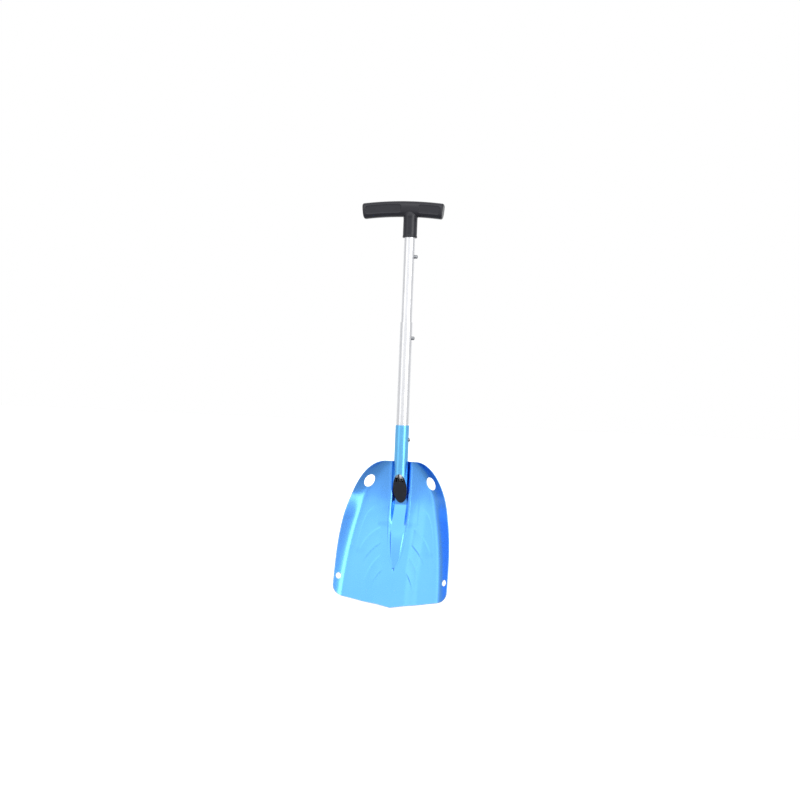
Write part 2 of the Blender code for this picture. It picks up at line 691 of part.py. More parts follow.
def make_grip(finish):
    grip = add_object("grip", grip_bar_mesh(), finish)
    combine(grip, "grip_stem", stem_mesh(), "UNION")
    bore = UPPER_RADIUS + GAP + 0.0001
    drill(grip, "grip_bore", bore, (0, 0, STEM_END - 0.010), (0, 0, UPPER_TOP + GAP), TUBE_SIDES)
    z = STEM_END + GRIP_RIVET_RISE
    drill(grip, "grip_rivet_cut", SHANK_HOLE, (0, 0.004, z), (0, 0.030, z), 16)


def make_grip_rivet(finish):
    rivet("grip_rivet", UPPER_BORE, STEM_RADIUS, STEM_END + GRIP_RIVET_RISE, finish)


# --- assembly ---------------------------------------------------------------------------
def stand_on_origin():
    """Parent every piece to one empty and set it so the box stands centred on the origin."""
    frame = bpy.data.objects.new("shovel_frame", None)
    bpy.context.scene.collection.objects.link(frame)
    pieces = [obj for obj in bpy.data.objects if obj.type == "MESH"]
    for piece in pieces:
        piece.parent = frame
    graph = bpy.context.evaluated_depsgraph_get()
    corners = []
    for piece in pieces:
        if piece.hide_render:
            continue
        solid = piece.evaluated_get(graph)
        corners += [piece.matrix_local @ vertex.co for vertex in solid.data.vertices]
    low = [min(corner[axis] for corner in corners) for axis in range(3)]
    high = [max(corner[axis] for corner in corners) for axis in range(3)]
    frame.location = (-(low[0] + high[0]) / 2, -(low[1] + high[1]) / 2, -low[2])


def main():
    clear_scene()
    blue = material("blue_anodised_aluminium", (0.13, 0.48, 0.90), 0.30, 1.0)
    blue_tube = material("blue_anodised_tube", (0.16, 0.45, 0.80), 0.28, 1.0)
    silver = material("natural_aluminium", (0.90, 0.90, 0.92), 0.25, 1.0)
    steel = material("plated_steel", (0.72, 0.73, 0.75), 0.28, 1.0)
    spring_steel = material("spring_steel", (0.45, 0.46, 0.48), 0.35, 1.0)
    grip_plastic = material("black_moulded_plastic", (0.025, 0.025, 0.030), 0.42, 0.0)
    plug_plastic = material("black_plug_plastic", (0.030, 0.030, 0.034), 0.50, 0.0)
    make_blade(blue)
    make_socket(blue_tube)
    make_plug(plug_plastic)
    make_socket_rivets(silver)
    make_lower_tube(silver)
    make_upper_tube(silver)
    make_buttons(steel, spring_steel)
    make_grip(grip_plastic)
    make_grip_rivet(steel)
    stand_on_origin()


main()
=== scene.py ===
"""Looks of the take-apart avalanche shovel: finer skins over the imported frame, finishes, studio.

Everything is in metres in the frame's own axes: +Z up the shaft, the scoop opens towards -Y.
Shapes are worked out round a shaft axis at X = 0, Y = 0 and moved onto the frame's axis.
"""
import math

import bmesh
import bpy
import numpy as np
from mathutils import Matrix, Vector, kdtree
from mathutils.geometry import delaunay_2d_cdt


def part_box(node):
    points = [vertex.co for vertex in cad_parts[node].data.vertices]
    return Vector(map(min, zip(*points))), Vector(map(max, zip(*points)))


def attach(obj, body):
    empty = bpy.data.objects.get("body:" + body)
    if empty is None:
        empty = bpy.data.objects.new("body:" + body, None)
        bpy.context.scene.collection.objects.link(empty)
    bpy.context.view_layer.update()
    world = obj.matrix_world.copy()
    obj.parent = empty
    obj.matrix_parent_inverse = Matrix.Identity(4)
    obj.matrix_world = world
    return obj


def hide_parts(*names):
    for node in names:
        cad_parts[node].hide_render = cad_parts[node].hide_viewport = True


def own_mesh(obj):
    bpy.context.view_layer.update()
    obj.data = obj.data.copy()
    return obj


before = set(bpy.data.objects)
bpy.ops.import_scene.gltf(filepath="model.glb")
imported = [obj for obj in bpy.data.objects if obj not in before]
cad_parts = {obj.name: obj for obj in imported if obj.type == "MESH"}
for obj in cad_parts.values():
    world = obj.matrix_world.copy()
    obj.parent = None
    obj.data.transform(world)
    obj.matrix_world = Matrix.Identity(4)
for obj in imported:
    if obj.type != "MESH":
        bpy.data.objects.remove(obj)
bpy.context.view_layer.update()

# --- sizes shared with the frame --------------------------------------------------------
SHEET = 0.0018
TUBE_WALL = 0.0012
UPPER_RADIUS = 0.0111
LOWER_RADIUS = 0.0127
SOCKET_RADIUS = 0.0143
BLADE_HEIGHT = 0.2870
BLADE_HALF_WIDTH = 0.1145
TOP_EDGE_HALF = 0.032
SIDE_TOP = 0.060
TIP_SLOPE = 0.18
CORNER_RADIUS = 0.026
LIFT = math.radians(18.6)
FLOOR_BEND_Z = 0.1980
FLOOR_BEND_SOFT = 0.012
DISH_RISE = 0.024
DISH_START = 0.020
DISH_END = 0.062
WALL_SLOPE = 1.15
SHOULDER_SLOPE = 0.83
SHOULDER_START_Z = 0.1715
SHOULDER_END_Z = 0.2215
WALL_SOFT = 0.010
WALL_FOOT_INSET = 0.0145
WALL_FOOT_TOP_HALF = 0.008
WALL_FOOT_OVER = 0.0095
TROUGH_Y = 0.0156
LIP_Y = 0.0105
TROUGH_FLOOR_HALF = 0.0120
TROUGH_LIP_HALF = 0.0180
RIDGE_START = 0.184561
RIDGE_FOOT = 0.200561
RIDGE_TIP = 0.075
RIDGE_HEIGHT = 0.0040
RIDGE_CROWN = 0.0015
RAMP_LEAN = math.radians(29)
RAMP_SOFT = 0.0060
CREST_SOFT = 0.0030
NARROWEST_CHANNEL = 0.25     # share of the trough's width
LASHING_HOLE = (0.0135, 0.0100)
LASHING_HOLE_INSET = 0.0206
LASHING_HOLE_DROP = 0.0421
LASHING_HOLE_TILT = math.radians(36)
EDGE_HOLE_RADIUS = 0.006
EDGE_HOLE_INSET = 0.0079
EDGE_HOLE_Z = 0.0570
SOCKET_END = 0.2035
SOCKET_RIM = 0.3607
MOUTH_RISE = 0.058
LOWER_END = 0.2815
LOWER_RIM = 0.5688
UPPER_END = 0.5065
UPPER_TOP = 0.7765
SOCKET_BUTTON_Z = 0.3312
EXTEND_BUTTON_Z = 0.5368
STOW_BUTTON_Z = 0.7015
SOCKET_RIVET_LOW_Z = 0.2255
SOCKET_RIVET_GAP = 0.0490
STEM_END = 0.7400
STEM_RADIUS = 0.0148
STEM_LENGTH = 0.0421
GRIP_AXIS_Z = 0.7979
GRIP_HALF_LENGTH = 0.0823
GRIP_OFFSET = -0.0156
GRIP_HALF_HEIGHT = 0.0158
GRIP_HALF_DEPTH = 0.0130
GRIP_POWER = 2.7
GRIP_SAG = 0.0050
GRIP_END_ROUND = 0.0035
GRIP_RIVET_Z = 0.7580
BUTTON_RADIUS = 0.0037
BUTTON_HOLE = 0.0040
SHANK_HOLE = 0.0023
GAP = 0.0003

# --- sizes of the finer shapes ------------------------------------------------------------
PRESSED_LINES = (            # height, low, rise, reach, start, end, side of the floor that rises
    (0.00050, 0.082, 0.080, 0.076, 0.036, 0.071, 1),
    (0.00055, 0.045, 0.085, 0.070, 0.034, 0.058, -1),
    (0.00050, 0.006, 0.105, 0.063, 0.031, 0.053, 1),
    (0.00055, -0.010, 0.090, 0.050, 0.026, 0.039, -1),
)
PAD_HEIGHT = 0.00045         # of the raised floor beside the ridge's upper end
BOW_HEIGHT = 0.00045         # of the floor within the long bowed line
BEAD_HEIGHT = 0.0013
BEAD_PLACE = 0.0204          # out from the middle, where the trough has its full width
BEAD_WIDTH = 0.0021
DIMPLE_DEPTH = 0.0017
DIMPLE_X = -0.0006
DIMPLE_Z = 0.0715
DIMPLE_WIDTH = 0.0021
SHEET_EDGE_ROUND = 0.00045
TUBE_EDGE_ROUND = 0.0003
VIEW_TURN = math.radians(11)  # of the camera, off the scoop's own front

shaft_low, shaft_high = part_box("upper_tube")
AXIS_Y = (shaft_low.y + shaft_high.y) / 2
BASE_Z = shaft_high.z - UPPER_TOP
TO_FRAME = Matrix.Translation((0, AXIS_Y, BASE_Z))


# --- curves of the pressed blade ----------------------------------------------------------
def smooth_ramp(distance, soft):
    return 0.5 * (distance + np.sqrt(distance * distance + soft * soft))


def smooth_step(low, high, value):
    share = np.clip((value - low) / (high - low), 0, 1)
    return share * share * (3 - 2 * share)


def mix(first, second, share):
    return first + (second - first) * share


def half_width(z):
    share = np.clip((z - SIDE_TOP) / (BLADE_HEIGHT - SIDE_TOP), 0, 1)
    return TOP_EDGE_HALF + (BLADE_HALF_WIDTH - TOP_EDGE_HALF) * np.sqrt(1 - share ** 2.5)


def wall_foot(z):
    share = np.clip(z / (BLADE_HEIGHT + WALL_FOOT_OVER), 0, 0.999)
    low_half = BLADE_HALF_WIDTH - WALL_FOOT_INSET
    return WALL_FOOT_TOP_HALF + (low_half - WALL_FOOT_TOP_HALF) * np.sqrt(1 - share ** 2)


def ridge_share(z):
    fall = np.clip((RIDGE_START - z) / (RIDGE_START - RIDGE_TIP), 0, 1)
    return np.sqrt(1 - fall ** 1.5)


def channel_scale(z):
    return np.maximum(ridge_share(z), NARROWEST_CHANNEL)


def pressed_line(across, z, low, rise, reach, start, end, side):
    """A pressed step along a quarter oval that runs outward and down.

    Its steep face lies on the line. With side 1 the floor stands forward below the line, with
    -1 above it, and sinks back to the plain floor further off.
    """
    bow = np.sqrt(1 - np.clip(across / reach, 0, 0.97) ** 2)
    slope = rise * across / (reach * reach * bow)
    off = side * (low + rise * bow - z) / np.sqrt(1 + slope * slope)
    step = smooth_step(-0.0014, 0.0014, off) * np.exp(-np.maximum(off, 0) / 0.011)
    window = smooth_step(start - 0.004, start + 0.004, across)
    window = window * (1 - smooth_step(end - 0.006, end + 0.006, across))
    return step * window


def pressed_relief(x, z):
    """How far the stiffening lines stand forward of the plain floor."""
    across = np.abs(x)
    relief = np.zeros_like(across)
    for height, *line in PRESSED_LINES:
        relief += height * pressed_line(across, z, *line)
    pad = (1 - smooth_step(0.0385, 0.0425, across)) * smooth_step(0.152, 0.166, z)
    pad *= 1 - smooth_step(0.190, 0.212, z)
    bow = 0.046 + 0.032 * np.sqrt(1 - np.clip((z - 0.100) / 0.094, 0, 0.98) ** 2)
    within = smooth_step(-0.0011, 0.0011, bow - across)
    within = within * np.exp(-np.maximum(bow - across, 0) / 0.010)
    within *= smooth_step(0.098, 0.112, z) * (1 - smooth_step(0.180, 0.196, z))
    return relief + PAD_HEIGHT * pad + BOW_HEIGHT * within


def lip_bead(x, z):
    """The rounded lips that stand proud along both sides of the trough and the ridge."""
    share = ridge_share(z) ** 2
    beside = np.abs(x) / channel_scale(z)
    return BEAD_HEIGHT * share * np.exp(-((beside - BEAD_PLACE) / BEAD_WIDTH) ** 2)


def dimple(x, z):
    """A small round dent just below the ridge's tip."""
    square = (x - DIMPLE_X) ** 2 + (z - DIMPLE_Z) ** 2
    return DIMPLE_DEPTH * np.exp(-square / DIMPLE_WIDTH ** 2)


def sheet_y(x, z):
    """Fore-and-aft place of the middle of the sheet."""
    bend = FLOOR_BEND_Z + DISH_RISE * smooth_step(DISH_START, DISH_END, np.abs(x))
    leaning = math.tan(LIFT) * (bend - z)
    plain = LIP_Y - smooth_ramp(leaning, FLOOR_BEND_SOFT)
    slope = mix(WALL_SLOPE, SHOULDER_SLOPE, smooth_step(SHOULDER_START_Z, SHOULDER_END_Z, z))
    plain = plain - slope * smooth_ramp(np.abs(x) - wall_foot(z), WALL_SOFT)
    scaled = np.abs(x) / channel_scale(z)
    inside = 1 - smooth_step(TROUGH_FLOOR_HALF, TROUGH_LIP_HALF, scaled)
    crown = RIDGE_CROWN * (1 - np.minimum(1, scaled / TROUGH_FLOOR_HALF) ** 2)
    crest = plain - (RIDGE_HEIGHT + crown) * ridge_share(z) ** 2
    below = np.maximum(0.0, RIDGE_FOOT - z)
    ramp = TROUGH_Y - math.tan(RAMP_LEAN) * below ** 2 / (below + RAMP_SOFT)
    way_out = crest + smooth_ramp(ramp - crest, CREST_SOFT)
    level = mix(way_out, TROUGH_Y, smooth_step(RIDGE_FOOT - RAMP_SOFT, RIDGE_FOOT, z))
    pressed = mix(plain - pressed_relief(x, z), level, inside)
    return pressed - lip_bead(x, z) + dimple(x, z)


def blade_place(plan):
    """Points on the middle of the sheet and their forward normals, for (x, z) rows."""
    x, z = plan[:, 0], plan[:, 1]
    step = 0.0002
    slope_x = (sheet_y(x + step, z) - sheet_y(x - step, z)) / (2 * step)
    slope_z = (sheet_y(x, z + step) - sheet_y(x, z - step)) / (2 * step)
    normals = np.stack([slope_x, -np.ones_like(x), slope_z], 1)
    normals /= np.linalg.norm(normals, axis=1)[:, None]
    return np.stack([x, sheet_y(x, z), z], 1), normals


# --- walls of even thickness --------------------------------------------------------------
def inside_loop(points, loop):
    """Even-odd test of (a, b) points against one closed loop."""
    hit = np.zeros(len(points), bool)
    a, b = points[:, 0], points[:, 1]
    for (a0, b0), (a1, b1) in zip(loop, np.roll(loop, -1, 0)):
        if b0 == b1:
            continue
        crosses = (b0 > b) != (b1 > b)
        hit ^= crosses & (a < (a1 - a0) * (b - b0) / (b1 - b0) + a0)
    return hit


def far_from(points, lines, clearance):
    """Keeps the points that stand at least clearance off every line's corners."""
    tree = kdtree.KDTree(sum(len(line) for line in lines))
    index = 0
    for line in lines:
        for a, b in line:
            tree.insert((a, b, 0), index)
            index += 1
    tree.balance()
    keep = [tree.find((a, b, 0))[2] >= clearance for a, b in points]
    return points[np.array(keep, bool)], tree


def wall_piece(name, outline, holes, fill, place, wall, edge_round, finish, rims=None,
               inner_finish=None):
    """A sheet of even thickness with rounded edges, laid out flat as a plan and then formed.

    outline runs anticlockwise and holes clockwise, so the material is always on the left.
    rims lists the stretches of the outline that are real edges; the rest is welded as a seam.
    """
    lines = [np.asarray(outline)] + [np.asarray(hole) for hole in holes]
    inner, tree = far_from(fill, lines, 0.0007)
    keep = inside_loop(inner, lines[0])
    for hole in lines[1:]:
        keep &= ~inside_loop(inner, hole)
    plan = np.concatenate(lines + [inner[keep]])
    edges, start = [], 0
    for line in lines:
        edges += [(start + i, start + (i + 1) % len(line)) for i in range(len(line))]
        start += len(line)
    flat, _, faces, origin, _, _ = delaunay_2d_cdt(
        [Vector(p) for p in plan], edges, [], 0, 1e-9)
    flat = np.array([tuple(p) for p in flat])
    faces = np.array([f for f in faces if len(f) == 3])
    middle = flat[faces].mean(1)
    keep = inside_loop(middle, lines[0])
    for hole in lines[1:]:
        keep &= ~inside_loop(middle, hole)
    faces = faces[keep]
    where = {}
    for new, old in enumerate(origin):
        for index in old:
            where[index] = new
    points, normals = place(flat)
    count = len(flat)
    verts = [points + normals * wall / 2, points - normals * wall / 2]
    vert_normals = [normals, -normals]
    near_edge = [math.exp(-tree.find((a, b, 0))[2] / 0.003) for a, b in flat]
    wear = [np.array(near_edge), np.array(near_edge)]
    all_faces = [tuple(f) for f in faces] + [(f[2] + count, f[1] + count, f[0] + count)
                                             for f in faces]
    total = 2 * count
    turns = [math.pi / 8 * i for i in range(1, 5)]
    profile = [(edge_round * math.sin(t), wall / 2 - edge_round * (1 - math.cos(t)), t)
               for t in turns]
    profile += [(out, -up, math.pi - t) for out, up, t in reversed(profile)][:-1]
    loops, start = [], 0
    for number, line in enumerate(lines):
        if number == 0 and rims is not None:
            loops += [([where[i] for i in rim], False) for rim in rims]
        else:
            loops.append(([where[start + i] for i in range(len(line))], True))
        start += len(line)
    for loop, closed in loops:
        ring = points[loop]
        up = normals[loop]
        if closed:
            along = np.roll(ring, -1, 0) - np.roll(ring, 1, 0)
        else:
            along = np.gradient(ring, axis=0)
        out = np.cross(along, up)
        out /= np.linalg.norm(out, axis=1)[:, None]
        rows = [list(loop)]
        for reach, rise, turn in profile:
            verts.append(ring + out * reach + up * rise)
            vert_normals.append(out * math.sin(turn) + up * math.cos(turn))
            wear.append(np.ones(len(loop)))
            rows.append(list(range(total, total + len(loop))))
            total += len(loop)
        rows.append([index + count for index in loop])
        last = len(loop) if closed else len(loop) - 1
        for upper, lower in zip(rows, rows[1:]):
            for i in range(last):
                j = (i + 1) % len(loop)
                all_faces.append((upper[j], upper[i], lower[i], lower[j]))
    verts, vert_normals = np.concatenate(verts), np.concatenate(vert_normals)
    wear = np.concatenate(wear)
    keys, first, group = np.unique(np.round(verts * 2e6).astype(np.int64), axis=0,
                                   return_index=True, return_inverse=True)
    group = group.reshape(-1)
    verts, vert_normals, wear = verts[first], vert_normals[first], wear[first]
    welded, finish_numbers = [], []
    for number, face in enumerate(all_faces):
        corners = [int(group[i]) for i in face]
        if len(set(corners)) == len(corners):
            welded.append(corners)
            finish_numbers.append(int(len(faces) <= number < 2 * len(faces)))
    mesh = bpy.data.meshes.new(name)
    mesh.from_pydata([tuple(v) for v in verts], [], welded)
    mesh.transform(TO_FRAME)
    mesh.materials.append(finish)
    if inner_finish is not None:
        mesh.materials.append(inner_finish)
        mesh.polygons.foreach_set("material_index", finish_numbers)
    mesh.shade_smooth()
    mesh.attributes.new("edge_wear", "FLOAT", "POINT").data.foreach_set(
        "value", wear.astype(np.float32))
    mesh.normals_split_custom_set_from_vertices([tuple(n) for n in vert_normals])
    mesh.update()
    return show(name, mesh)


def show(name, mesh):
    obj = bpy.data.objects.new(name, mesh)
    bpy.context.scene.collection.objects.link(obj)
    return obj


def even_fill(low_a, high_a, low_b, high_b, spacing):
    """Points in staggered rows."""
    rows = np.arange(low_b, high_b, spacing * 0.866)
    points = []
    for number, b in enumerate(rows):
        a = np.arange(low_a + spacing / 2 * (number % 2), high_a, spacing)
        points.append(np.stack([a, np.full_like(a, b)], 1))
    return np.concatenate(points)


# --- blade --------------------------------------------------------------------------------
def blade_outline(inset):
    """Closed outline of the blade's plan, anticlockwise from the tip, drawn in by inset."""
    lean = math.atan(TIP_SLOPE)
    centre_x = BLADE_HALF_WIDTH - CORNER_RADIUS
    centre_z = TIP_SLOPE * centre_x + CORNER_RADIUS / math.cos(lean)
    arc = [-(math.pi / 2 - lean) * (1 - i / 26) for i in range(27)]
    corner = [(centre_x + CORNER_RADIUS * math.cos(t), centre_z + CORNER_RADIUS * math.sin(t))
              for t in arc]
    edge = [(corner[0][0] * i / 70, corner[0][1] * i / 70) for i in range(70)]
    side = [(BLADE_HALF_WIDTH, z) for z in np.arange(centre_z + 0.0013, SIDE_TOP, 0.0013)]
    heights = SIDE_TOP + (BLADE_HEIGHT - SIDE_TOP) * np.sin(np.linspace(0, math.pi / 2, 150))
    top = [(float(half_width(z)), float(z)) for z in heights]
    flat_top = [(TOP_EDGE_HALF * (1 - i / 24), BLADE_HEIGHT) for i in range(1, 25)]
    right = np.array(edge + corner + side + top + flat_top)
    left = right[1:-1][::-1] * [-1, 1]
    loop = np.concatenate([right, left])
    gap = np.linalg.norm(loop - np.roll(loop, 1, 0), axis=1)
    loop = loop[gap > 0.0002]
    along = np.roll(loop, -1, 0) - np.roll(loop, 1, 0)
    inward = np.stack([-along[:, 1], along[:, 0]], 1)
    inward /= np.linalg.norm(inward, axis=1)[:, None]
    return loop + inward * inset


def tangent_hole(x, z, half_long, half_wide, tilt, count):
    """Plan of an oval cut square through the sheet, clockwise."""
    centre, normal = blade_place(np.array([[x, z]]))
    centre, normal = Vector(centre[0]), Vector(normal[0])
    along = Vector((math.sin(tilt), 0, math.cos(tilt)))
    along = (along - normal * along.dot(normal)).normalized()
    across = along.cross(normal).normalized()
    loop = []
    for i in range(count):
        turn = 2 * math.pi * i / count
        point = centre + along * half_long * math.cos(turn) + across * half_wide * math.sin(turn)
        loop.append((point.x, point.z))
    loop = np.array(loop)
    area = np.sum(loop[:, 0] * np.roll(loop[:, 1], -1) - np.roll(loop[:, 0], -1) * loop[:, 1])
    return loop[::-1] if area > 0 else loop


def make_blade(finish):
    edge_round = SHEET_EDGE_ROUND
    half_long, half_wide = LASHING_HOLE
    edge_radius = EDGE_HOLE_RADIUS + edge_round
    shank_radius = SHANK_HOLE + edge_round
    holes = []
    for side in (-1, 1):
        z = BLADE_HEIGHT - LASHING_HOLE_DROP
        x = side * (float(half_width(z)) - LASHING_HOLE_INSET)
        holes.append(tangent_hole(x, z, half_long + edge_round, half_wide + edge_round,
                                  -side * LASHING_HOLE_TILT, 96))
        x = side * (BLADE_HALF_WIDTH - EDGE_HOLE_INSET)
        holes.append(tangent_hole(x, EDGE_HOLE_Z, edge_radius, edge_radius, 0, 56))
    for z in (SOCKET_RIVET_LOW_Z, SOCKET_RIVET_LOW_Z + SOCKET_RIVET_GAP):
        holes.append(tangent_hole(0, z, shank_radius, shank_radius, 0, 32))
    middle = even_fill(-0.0255, 0.0255, 0.001, BLADE_HEIGHT, 0.00105)
    left = even_fill(-BLADE_HALF_WIDTH, -0.0260, 0.001, BLADE_HEIGHT, 0.00145)
    fill = np.concatenate([middle, left, left * [-1, 1]])
    blade = wall_piece("pressed_blade", blade_outline(edge_round + 0.0001), holes, fill,
                       blade_place, SHEET, edge_round, finish)
    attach(blade, "head")
    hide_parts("blade")


# --- tubes --------------------------------------------------------------------------------
def tube_piece(name, radius, low, high, holes, finish, inner_finish, mouth_rise=0.0):
    """A tube unrolled as a plan; mouth_rise slants its low edge up from the back to the front."""
    middle = radius - TUBE_WALL / 2
    edge_round = TUBE_EDGE_ROUND
    columns = 84
    half_turn = math.pi * middle

    def low_edge(a):
        toward_front = 0.5 * (1 - np.sin(a / middle))
        return low + edge_round + mouth_rise * toward_front

    def place(plan):
        turn = plan[:, 0] / middle
        normals = np.stack([np.cos(turn), np.sin(turn), np.zeros_like(turn)], 1)
        points = normals * middle
        points[:, 2] = plan[:, 1]
        return points, normals

    across = np.linspace(-half_turn, half_turn, columns + 1)
    bottom = [(a, float(low_edge(a))) for a in across]
    top = [(a, high - edge_round) for a in across[::-1]]
    seam_low, seam_high = bottom[0][1], top[0][1]
    rises = np.linspace(seam_low, seam_high, max(3, int((seam_high - seam_low) / 0.003)))[1:-1]
    right = [(half_turn, float(z)) for z in rises]
    left = [(-half_turn, float(z)) for z in rises[::-1]]
    outline = bottom + right + top + left
    rims = [list(range(columns + 1)),
            list(range(columns + 1 + len(right), 2 * columns + 2 + len(right)))]
    plan_holes = []
    for height, hole_radius, toward_back in holes:
        centre = math.pi / 2 * middle if toward_back else 0.0
        reach = hole_radius + edge_round
        plan_holes.append([(centre + reach * math.cos(-2 * math.pi * i / 40),
                            height + reach * math.sin(-2 * math.pi * i / 40))
                           for i in range(40)])
    spread = 2 * half_turn / columns
    fill = []
    for number, b in enumerate(np.arange(low + 0.001, high - 0.0007, 0.0026)):
        shift = spread / 2 * (number % 2)
        a = np.arange(-half_turn + spread / 2 + shift, half_turn - spread / 3, spread)
        fill.append(np.stack([a, np.full_like(a, b)], 1))
    fill = np.concatenate(fill)
    return wall_piece(name, outline, plan_holes, fill, place, TUBE_WALL, edge_round, finish, rims,
                      inner_finish)


def make_tubes(blue, silver, bare):
    socket = tube_piece("blade_socket", SOCKET_RADIUS, SOCKET_END, SOCKET_RIM,
                        [(SOCKET_BUTTON_Z, BUTTON_HOLE, False),
                         (SOCKET_RIVET_LOW_Z, SHANK_HOLE, True),
                         (SOCKET_RIVET_LOW_Z + SOCKET_RIVET_GAP, SHANK_HOLE, True)],
                        blue, bare, MOUTH_RISE)
    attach(socket, "head")
    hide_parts("socket_tube")
    lower = tube_piece("lower_shaft_tube", LOWER_RADIUS, LOWER_END, LOWER_RIM,
                       [(SOCKET_BUTTON_Z, BUTTON_HOLE, False),
                        (EXTEND_BUTTON_Z, BUTTON_HOLE, False)], silver, bare)
    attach(lower, "lower_shaft")
    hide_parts("lower_tube")
    upper = tube_piece("upper_shaft_tube", UPPER_RADIUS, UPPER_END, UPPER_TOP,
                       [(EXTEND_BUTTON_Z, BUTTON_HOLE, False),
                        (STOW_BUTTON_Z, BUTTON_HOLE, False),
                        (GRIP_RIVET_Z, SHANK_HOLE, True)], silver, bare)
    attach(upper, "upper_shaft")
    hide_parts("upper_tube")


# --- moulded pieces -------------------------------------------------------------------------
def builder_object(name, builder):
    bmesh.ops.recalc_face_normals(builder, faces=builder.faces)
    mesh = bpy.data.meshes.new(name)
    builder.to_mesh(mesh)
    builder.free()
    return show(name, mesh)


def join_rings(builder, first, second):
    count = len(first)
    for i in range(count):
        j = (i + 1) % count
        builder.faces.new((first[i], first[j], second[j], second[i]))


def turned(profile, sides):
    """A solid turned round Z from (radius, height) pairs, closed at both ends."""
    builder = bmesh.new()
    rings = []
    for radius, height in profile:
        rings.append([builder.verts.new((radius * math.cos(2 * math.pi * i / sides),
                                         radius * math.sin(2 * math.pi * i / sides), height))
                      for i in range(sides)])
    for first, second in zip(rings, rings[1:]):
        join_rings(builder, first, second)
    builder.faces.new(rings[0])
    builder.faces.new(rings[-1])
    return builder


def lofted(sections):
    builder = bmesh.new()
    rings = [[builder.verts.new(point) for point in section] for section in sections]
    for first, second in zip(rings, rings[1:]):
        join_rings(builder, first, second)
    builder.faces.new(rings[0])
    builder.faces.new(rings[-1])
    return builder


def squared_oval(centre, half_depth, half_height, power, lean=0.0, sides=56):
    """Ring of points round centre, square to a bar that runs along X and leans in the X-Z plane."""
    x, y, z = centre
    points = []
    for i in range(sides):
        turn = 2 * math.pi * i / sides
        out = math.copysign(abs(math.cos(turn)) ** (2 / power), math.cos(turn)) * half_depth
        up = math.copysign(abs(math.sin(turn)) ** (2 / power), math.sin(turn)) * half_height
        points.append((x + up * math.sin(lean), y + out, z + up * math.cos(lean)))
    return points


def cut_or_join(obj, tool, operation):
    step = obj.modifiers.new(tool.name, "BOOLEAN")
    step.operation = operation
    step.object = tool
    step.solver = "EXACT"


def baked(obj, tools=()):
    """Applies obj's modifiers, and drops the helper shapes."""
    bpy.context.view_layer.update()
    graph = bpy.context.evaluated_depsgraph_get()
    mesh = bpy.data.meshes.new_from_object(obj.evaluated_get(graph))
    obj.modifiers.clear()
    obj.data = mesh
    for tool in tools:
        bpy.data.objects.remove(tool, do_unlink=True)


def moulded(obj, voxel, smoothing):
    """Rounds every edge a little, as a moulding's are."""
    remesh = obj.modifiers.new("even_skin", "REMESH")
    remesh.mode = "VOXEL"
    remesh.voxel_size = voxel
    remesh.use_smooth_shade = True
    smooth = obj.modifiers.new("soft_edges", "SMOOTH")
    smooth.factor = 0.5
    smooth.iterations = smoothing
    baked(obj)
    obj.data.shade_smooth()


def arch(along, rise=0.0):
    """Place and lean of the arched bar at a length along from its middle, rise above its axis."""
    lean = math.atan(2 * GRIP_SAG * along / GRIP_HALF_LENGTH ** 2)
    drop = GRIP_SAG * (along / GRIP_HALF_LENGTH) ** 2
    return (GRIP_OFFSET + along + rise * math.sin(lean), 0.0,
            GRIP_AXIS_Z - drop + rise * math.cos(lean)), lean


def grip_bar():
    inner = GRIP_HALF_LENGTH - GRIP_END_ROUND
    stations = [(inner * (i / 24 - 1), 1.0) for i in range(49)]
    ends = []
    for i in range(1, 7):
        turn = math.pi / 2 * i / 6
        shrink = 1 - GRIP_END_ROUND / GRIP_HALF_HEIGHT * (1 - math.cos(turn))
        ends.append((inner + GRIP_END_ROUND * math.sin(turn), shrink))
    stations = [(-along, shrink) for along, shrink in reversed(ends)] + stations + ends
    sections = []
    for along, shrink in stations:
        centre, lean = arch(along)
        sections.append(squared_oval(centre, GRIP_HALF_DEPTH * shrink, GRIP_HALF_HEIGHT * shrink,
                                     GRIP_POWER, lean))
    return builder_object("t_grip", lofted(sections))


def grip_stem():
    under = STEM_END + STEM_LENGTH
    waist = STEM_RADIUS - 0.0005
    profile = [(STEM_RADIUS - 0.0004, STEM_END), (STEM_RADIUS, STEM_END + 0.0005),
               (STEM_RADIUS, STEM_END + 0.0030), (waist, STEM_END + 0.0040),
               (waist, under - 0.0040), (STEM_RADIUS, under), (STEM_RADIUS * 0.97, under + 0.004),
               (STEM_RADIUS * 0.86, under + 0.008), (STEM_RADIUS * 0.66, under + 0.0112),
               (STEM_RADIUS * 0.40, under + 0.0132), (STEM_RADIUS * 0.10, under + 0.0140)]
    return builder_object("grip_stem_tool", turned(profile, 96))


def grip_panel(label, start, end, face):
    """Shallow pocket let into one face of an arm, its rim following the arch."""
    steps = 30
    sections = []
    for i in range(steps + 1):
        along = start + (end - start) * i / steps
        near_end = min(i, steps - i)
        grow = 1 - 0.30 * max(0.0, 1 - near_end / 3) ** 2
        centre, lean = arch(along, -0.0004)
        centre = (centre[0], face * GRIP_HALF_DEPTH, centre[2])
        sections.append(squared_oval(centre, 0.0016, 0.0088 * grow, 7.0, lean, 40))
    return builder_object(label, lofted(sections))


